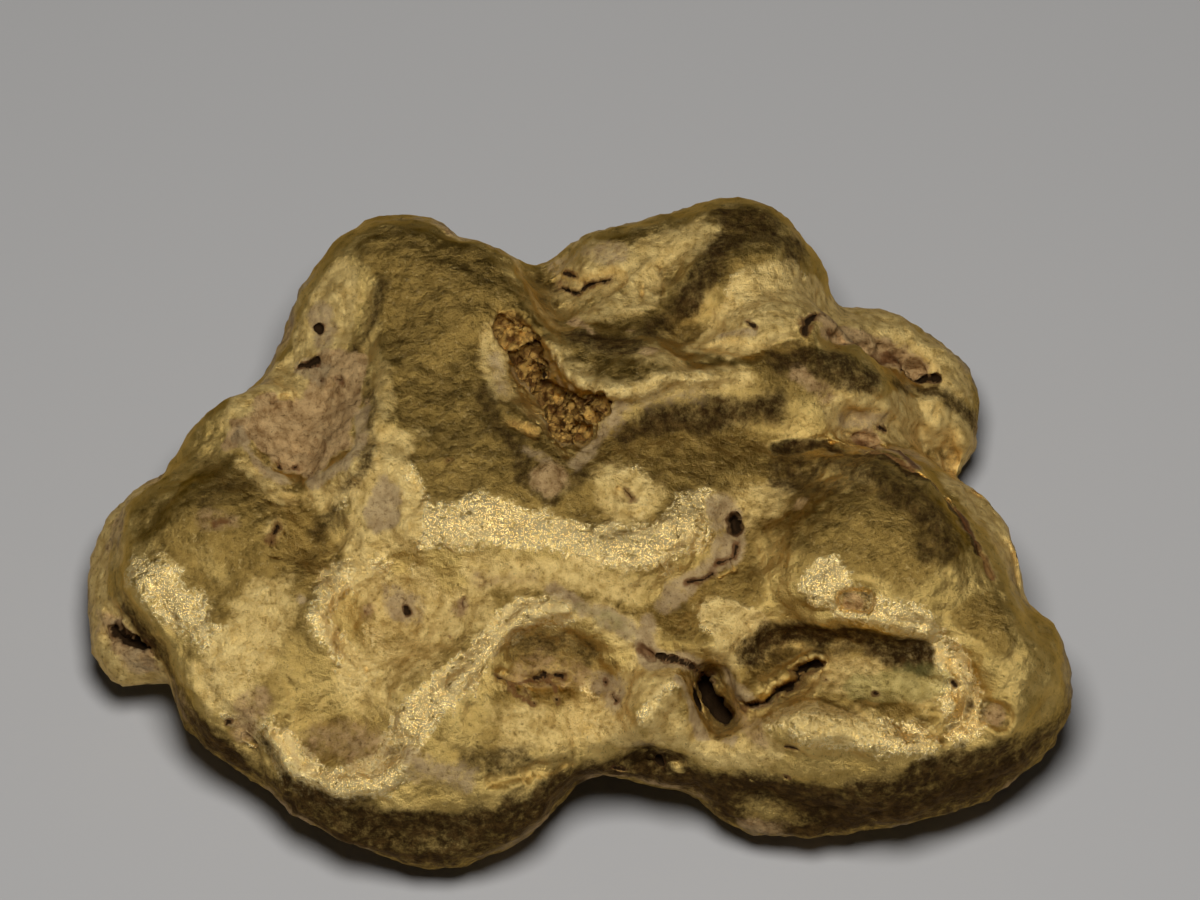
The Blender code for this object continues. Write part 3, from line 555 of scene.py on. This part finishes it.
def finish_amounts(mesh):
    """How strongly each finish lies on every vertex, from 0 to 1; patina and olive are partly painted shade, and foil
    is partly a painted highlight.
    """
    points = mesh_vectors(mesh)
    normals = mesh_vectors(mesh, "normal")
    tree = skin_tree(mesh)
    wander = fractal(points, 1.3, 4) * 0.45
    amounts = {name: stroke_amount(points, tree, strokes, wander) for name, strokes in FACE_FINISHES.items()}
    hidden = 1 - smooth_step(0.1, 0.5, normals @ np.array(side_axes(FACE)[2]))
    # Painted shade: the low walls that face sideways or down get dark patina, more on the face and less under cream.
    painted_wall_shade = (1 - smooth_step(0.0, 0.6, normals[:, 2])) * (1 - smooth_step(4.5, 6.5, points[:, 2]))
    painted_wall_shade *= 0.8 + 0.2 * smooth_step(-0.6, 0.1, fractal(points, 2.4, 4, 11))
    painted_wall_shade *= 1.25 - 0.5 * hidden
    amounts["patina_and_shade"] = np.maximum(amounts["patina_and_shade"], painted_wall_shade * (1 - 0.9 * amounts["cream"]))
    upward = smooth_step(-0.1, 0.4, normals[:, 2])
    amounts["cream"] = np.maximum(
        amounts["cream"], hidden * (0.15 + 0.85 * upward) * smooth_step(0.05, 0.4, fractal(points, 3.1, 4, 23))
    )
    amounts["tan"] = np.maximum(amounts["tan"], 0.7 * hidden * smooth_step(0.0, 0.5, fractal(points, 2.7, 5, 31)))
    amounts["mauve"] = np.maximum(amounts["mauve"], 0.65 * hidden * smooth_step(0.05, 0.55, fractal(points, 1.9, 5, 43)))
    # Darker in the hollows: patina in blotches where the skin is hollow, less under cream.
    blotch = smooth_step(-0.4, 0.3, fractal(points, 1.1, 4, 17))
    hollow = kept(mesh, "hollow")
    amounts["patina_and_shade"] = np.maximum(amounts["patina_and_shade"], hollow * (0.35 + 0.4 * blotch) * (1 - 0.5 * amounts["cream"]))
    # Upward-facing tops get olive: dull worn metal, partly painted shade.
    amounts["olive_and_top_shade"] = np.maximum(amounts["olive_and_top_shade"], smooth_step(0.84, 0.96, normals[:, 2]))
    amounts["olive_and_top_shade"] *= 1 - 0.8 * amounts["foil_and_highlight"]
    return amounts


def roughen(mesh, amounts):
    """The skin's small relief: beaten dints on the open metal, crumpled foil, and grains under the films."""
    points = mesh_vectors(mesh)
    normals = mesh_vectors(mesh, "normal")
    crust = np.maximum(amounts["rust"], 0.8 * amounts["patina_and_shade"])
    grains = chips(points, 0.45, 13)
    rise = 0.12 * fractal(points, 2.3, 2, 5) + 0.06 * fractal(points, 0.9, 3) + 0.045 * fractal(points, 0.38, 3, 15)
    folded = 0.14 * (1 - 0.8 * amounts["olive_and_top_shade"]) * (1 - 0.6 * amounts["foil_and_highlight"])
    rise += folded * (np.abs(fractal(points, 1.6, 3, 27)) - 0.25)
    rise += amounts["foil_and_highlight"] * 0.045 * fractal(points, 0.4, 3, 3)
    rise += amounts["cream"] * 0.045 * fractal(points, 0.3, 3, 19)
    rise += crust * 0.06 * fractal(points, 0.5, 3, 7) + amounts["tan"] * 0.1 * grains
    rise += amounts["amber"] * (0.3 * chips(points, 0.55) + 0.14 * chips(points, 0.3, 5) + 0.16 * fractal(points, 0.8, 3, 9))
    rise -= amounts["amber"] * 0.1
    move_vertices(mesh, points + rise[:, None] * normals)


def ease(mesh, amount):
    """Evens out the points where a pit's steep sides have stretched the skin."""
    form = bmesh.new()
    form.from_mesh(mesh)
    steep = [vert for vert, share in zip(form.verts, amount) if share > 0.03]
    for _ in range(PIT_EASE_PASSES):
        bmesh.ops.smooth_vert(form, verts=steep, factor=0.5, use_axis_x=True, use_axis_y=True, use_axis_z=True)
    form.to_mesh(mesh)
    form.free()


def build_nugget():
    mesh = fine_skin(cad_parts["nugget"])
    split(mesh, mesh_vectors(mesh, "normal") @ np.array(side_axes(FACE)[2]) > SHOWN_FROM)
    relieve(mesh, FACE, FACE_FORMS, 1.2, 0.2)
    keep(mesh, "hollow", hollows(mesh))
    split(mesh, near_strokes(mesh, FACE, FACE_PITS + FACE_BREAKS[:4], FINE_MARGIN))
    relieve(mesh, FACE, FACE_BREAKS, 0.6, 0.6)
    points = mesh_vectors(mesh)
    tree = skin_tree(mesh)
    wander = fractal(points, 0.3, 2) * PIT_WANDER
    deep = [pit._replace(rise=1) for pit in FACE_PITS if pit.rise < -0.17]
    pits = stroke_amount(points, tree, deep, wander)
    stained = stroke_amount(points, tree, [pit._replace(reach=pit.reach + 0.16) for pit in deep], wander)
    relieve(mesh, FACE, FACE_PITS, 0.3, PIT_WANDER)
    ease(mesh, pits)
    amounts = finish_amounts(mesh)
    # Painted shade: the deep pits are filled with near-black, and their rims carry the rust stain.
    amounts["painted_pit_shade"] = smooth_step(0.3, 0.8, pits)
    amounts["rust"] = np.maximum(amounts["rust"], 0.75 * stained)
    roughen(mesh, amounts)
    rest(mesh)
    for name, amount in amounts.items():
        keep(mesh, name, amount)
    print("SKIN", len(mesh.vertices), sum(len(p.vertices) - 2 for p in mesh.polygons))
    mesh.transform(Matrix.Scale(MM, 4))
    mesh.shade_smooth()
    nugget = bpy.data.objects.new("gold_nugget", mesh)
    bpy.context.scene.collection.objects.link(nugget)
    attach(nugget, "root")
    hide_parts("nugget")
    return nugget


class Shading:
    """A material's nodes, with sizes of patterns in millimetres."""

    def __init__(self, name):
        self.material = bpy.data.materials.new(name)
        self.material.use_nodes = True
        self.nodes = self.material.node_tree.nodes
        self.links = self.material.node_tree.links
        self.shader = self.nodes["Principled BSDF"]
        self.place = self.nodes.new("ShaderNodeTexCoord").outputs["Object"]

    def plug(self, socket, value):
        if isinstance(value, bpy.types.NodeSocket):
            self.links.new(value, socket)
        elif isinstance(value, tuple) and len(value) == 3 and socket.type == "RGBA":
            socket.default_value = (*value, 1)
        else:
            socket.default_value = value

    def maths(self, operation, first, second=0.0, clamp=False):
        node = self.nodes.new("ShaderNodeMath")
        node.operation = operation
        node.use_clamp = clamp
        self.plug(node.inputs[0], first)
        self.plug(node.inputs[1], second)
        return node.outputs[0]

    def noise(self, size, detail=3.0, roughness=0.55, distortion=0.0):
        node = self.nodes.new("ShaderNodeTexNoise")
        self.links.new(self.place, node.inputs["Vector"])
        node.inputs["Scale"].default_value = 1 / (size * MM)
        node.inputs["Detail"].default_value = detail
        node.inputs["Roughness"].default_value = roughness
        node.inputs["Distortion"].default_value = distortion
        return node.outputs["Fac"]

    def cells(self, size, feature="F1"):
        node = self.nodes.new("ShaderNodeTexVoronoi")
        node.feature = feature
        self.links.new(self.place, node.inputs["Vector"])
        node.inputs["Scale"].default_value = 1 / (size * MM)
        return node.outputs["Distance"]

    def step(self, value, low, high):
        node = self.nodes.new("ShaderNodeMapRange")
        node.interpolation_type = "SMOOTHSTEP"
        self.plug(node.inputs["Value"], value)
        node.inputs["From Min"].default_value = low
        node.inputs["From Max"].default_value = high
        return node.outputs["Result"]

    def amount(self, name, ragged=0.8, low=0.15, high=0.85, size=0.45):
        """The part of the surface that a finish covers, with an edge broken up by noise."""
        node = self.nodes.new("ShaderNodeAttribute")
        node.attribute_name = name
        uneven = self.maths("MULTIPLY", self.maths("SUBTRACT", self.noise(size, 7, 0.75), 0.5), ragged * 2)
        present = self.step(node.outputs["Fac"], 0.0, 0.5)
        return self.step(self.maths("ADD", node.outputs["Fac"], self.maths("MULTIPLY", uneven, present)), low, high)

    def mix(self, factor, first, second):
        node = self.nodes.new("ShaderNodeMix")
        colours = any(isinstance(value, tuple) or getattr(value, "type", "") == "RGBA" for value in (first, second))
        node.data_type = "RGBA" if colours else "FLOAT"
        kind = "Color" if colours else "Float"
        at = [s for s in node.inputs if s.identifier in (f"A_{kind}", f"B_{kind}")]
        factor_in = [s for s in node.inputs if s.identifier == "Factor_Float"][0]
        self.plug(factor_in, factor)
        self.plug(at[0], first)
        self.plug(at[1], second)
        return [s for s in node.outputs if s.identifier == f"Result_{kind}"][0]


def gold_material():
    gold = Shading("native_gold")
    cream = gold.amount("cream", 1.0, 0.1, 0.9, 0.35)
    tan = gold.amount("tan", 1.0, 0.1, 0.9, 0.35)
    mauve = gold.amount("mauve", 1.1, 0.1, 1.0, 0.3)
    patina_and_shade = gold.amount("patina_and_shade", 1.1, 0.0, 1.15, 0.3)
    rust = gold.amount("rust")
    amber = gold.amount("amber", 0.4)
    green = gold.amount("green")
    foil_and_highlight = gold.amount("foil_and_highlight", 2.0, 0.3, 0.75, 0.2)
    olive_and_top_shade = gold.amount("olive_and_top_shade", 0.6, 0.0, 1.0)
    painted_pit_shade = gold.amount("painted_pit_shade", 0.2, 0.2, 0.8)
    fine = gold.noise(0.1, 5, 0.7)
    dints = gold.noise(0.2, 6, 0.75)
    mottle = gold.noise(0.4, 6, 0.72)
    broad = gold.noise(1.6, 6, 0.7)
    specks = gold.noise(0.17, 4, 0.65)

    def two_tone(dark, light, low=0.35, high=0.65, pattern=mottle):
        return gold.mix(gold.step(pattern, low, high), dark, light)

    colour = two_tone((0.58, 0.39, 0.11), (0.82, 0.58, 0.19), pattern=broad)
    # Olive: darker dull metal, partly painted shade on the tops.
    colour = gold.mix(olive_and_top_shade, colour, two_tone((0.25, 0.155, 0.036), (0.44, 0.285, 0.075)))
    colour = gold.mix(gold.maths("MULTIPLY", gold.step(specks, 0.56, 0.68), 0.4), colour, (0.72, 0.52, 0.2))
    # Foil: lighter burnished metal, partly a painted highlight.
    colour = gold.mix(foil_and_highlight, colour, two_tone((0.8, 0.54, 0.17), (1.0, 0.78, 0.36), 0.42, 0.58, fine))
    colour = gold.mix(gold.maths("MULTIPLY", cream, 0.9), colour, two_tone((0.56, 0.36, 0.105), (0.9, 0.655, 0.245)))
    # Patina: dark dull metal, partly painted shade.
    colour = gold.mix(patina_and_shade, colour, two_tone((0.037, 0.018, 0.005), (0.165, 0.09, 0.025), 0.4, 0.75))
    colour = gold.mix(tan, colour, two_tone((0.27, 0.145, 0.05), (0.68, 0.45, 0.2), 0.3, 0.65))
    colour = gold.mix(gold.maths("MULTIPLY", mauve, 0.9), colour, two_tone((0.33, 0.215, 0.1), (0.52, 0.37, 0.185)))
    colour = gold.mix(gold.maths("MULTIPLY", green, 0.4), colour, (0.36, 0.33, 0.1))
    colour = gold.mix(gold.maths("MULTIPLY", rust, 0.85), colour, (0.14, 0.05, 0.015))
    colour = gold.mix(amber, colour, two_tone((0.13, 0.055, 0.013), (0.6, 0.36, 0.09), 0.4, 0.6))
    colour = gold.mix(gold.step(fine, 0.56, 0.72), colour, gold.mix(0.6, colour, (0.05, 0.03, 0.01)))
    colour = gold.mix(gold.step(dints, 0.46, 0.3), colour, gold.mix(0.55, colour, (0.05, 0.03, 0.01)))
    # Painted shade: near-black in the deep pits.
    colour = gold.mix(painted_pit_shade, colour, (0.025, 0.012, 0.005))
    metallic = 1.0
    for finish, amount in ((foil_and_highlight, 0.76), (cream, 0.5), (patina_and_shade, 0.7), (tan, 0.2), (mauve, 0.15), (rust, 0.1), (amber, 0.4),
                           (painted_pit_shade, 0.0)):
        metallic = gold.mix(finish, metallic, amount)
    rough = two_tone(0.4, 0.5)
    for finish, amount in ((foil_and_highlight, 0.24), (cream, 0.4), (patina_and_shade, 0.52), (tan, 0.62), (mauve, 0.6), (rust, 0.7),
                           (amber, 0.3), (painted_pit_shade, 0.95)):
        rough = gold.mix(finish, rough, amount)
    gold.plug(gold.shader.inputs["Base Color"], colour)
    gold.plug(gold.shader.inputs["Metallic"], metallic)
    gold.plug(gold.shader.inputs["Roughness"], rough)
    gold.shader.inputs["Specular IOR Level"].default_value = 0.3
    gold.shader.inputs["Specular Tint"].default_value = (0.85, 0.62, 0.3, 1)

    height = dints
    glints = gold.maths("SUBTRACT", gold.noise(0.2, 4, 0.6, 0.2), 0.5)
    height = gold.maths("ADD", height, gold.maths("MULTIPLY", glints, gold.maths("ADD", gold.maths("MULTIPLY", foil_and_highlight, 0.42), 0.25)))
    crust = gold.maths("MAXIMUM", tan, patina_and_shade)
    height = gold.maths("ADD", height, gold.maths("MULTIPLY", fine, gold.maths("MULTIPLY", crust, 0.6)))
    bump = gold.nodes.new("ShaderNodeBump")
    bump.inputs["Strength"].default_value = 1.0
    bump.inputs["Distance"].default_value = 0.065 * MM
    gold.plug(bump.inputs["Height"], height)
    gold.plug(gold.shader.inputs["Normal"], bump.outputs["Normal"])
    return gold.material


def plain_material(name, colour, roughness):
    material = bpy.data.materials.new(name)
    material.use_nodes = True
    shader = material.node_tree.nodes["Principled BSDF"]
    shader.inputs["Base Color"].default_value = (*colour, 1)
    shader.inputs["Roughness"].default_value = roughness
    return material


def aimed(thing, place, target):
    thing.location = place
    thing.rotation_mode = "QUATERNION"
    thing.rotation_quaternion = (target - place).to_track_quat("-Z", "Y")
    bpy.context.scene.collection.objects.link(thing)


def soft_light(name, towards, distance, size, power):
    light = bpy.data.lights.new(name, "AREA")
    light.shape = "DISK"
    light.size = size
    light.energy = power
    target = FACE.middle * MM
    aimed(bpy.data.objects.new(name, light), target + towards.normalized() * distance, target)


def studio():
    bpy.ops.mesh.primitive_plane_add(size=2, location=(0, 0, -0.00002))
    floor = bpy.context.object
    floor.name = "floor"
    floor.data.materials.append(plain_material("pale_floor", (0.5, 0.49, 0.48), 0.9))
    right, up, towards = side_axes(FACE)
    soft_light("key", towards + up * 0.25, 0.16, 0.05, 0.2)
    world = bpy.data.worlds.new("studio")
    bpy.context.scene.world = world
    world.use_nodes = True
    world.node_tree.nodes["Background"].inputs["Color"].default_value = (0.02, 0.02, 0.02, 1)


def camera():
    towards = side_axes(FACE)[2]
    lens = bpy.data.cameras.new("camera")
    lens.sensor_width = 36
    lens.lens = 450
    lens.clip_start = 0.01
    viewer = bpy.data.objects.new("camera", lens)
    aimed(viewer, FACE.middle * MM + towards * 0.5, FACE.middle * MM)
    bpy.context.scene.camera = viewer


bpy.context.scene.view_settings.view_transform = "Standard"
nugget = build_nugget()
nugget.data.materials.clear()
nugget.data.materials.append(gold_material())
studio()
camera()
